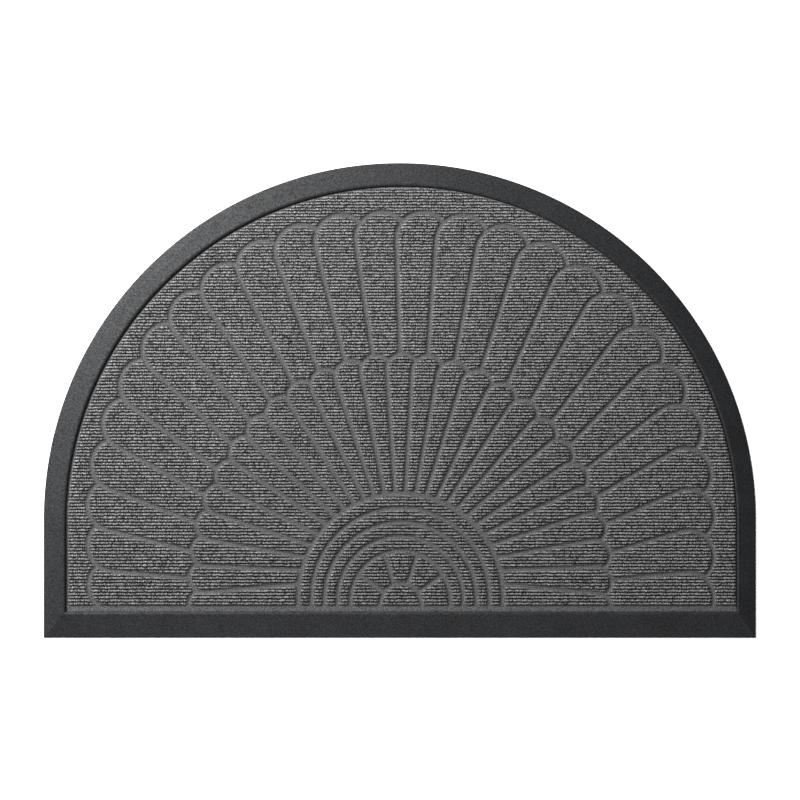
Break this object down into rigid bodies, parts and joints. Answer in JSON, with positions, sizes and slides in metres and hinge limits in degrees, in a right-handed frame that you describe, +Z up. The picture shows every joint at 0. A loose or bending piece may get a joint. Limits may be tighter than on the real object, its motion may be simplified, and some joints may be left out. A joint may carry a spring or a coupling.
{
  "type": "half-round doormat",
  "caption": "Half-round ribbed doormat with a shell-pattern pressed carpet face in a bevelled rubber border.",
  "frame": {"origin": "middle of the bounding box's underside, on the surface the mat lies on", "axes": "+X along the straight edge, +Y from the straight edge towards the arc, +Z up"},
  "size_m": [0.9, 0.6, 0.006],
  "materials": {
    "charcoal_rubber": "matt moulded rubber with fine cross ribs on the border",
    "grey_carpet": "heathered mid-grey ribbed needle-punched pile, pressed smooth in the grooves"
  },
  "bodies": {
    "root": {"rubber_backing": "charcoal_rubber", "ribbed_carpet": "grey_carpet"}
  },
  "joints": []
}
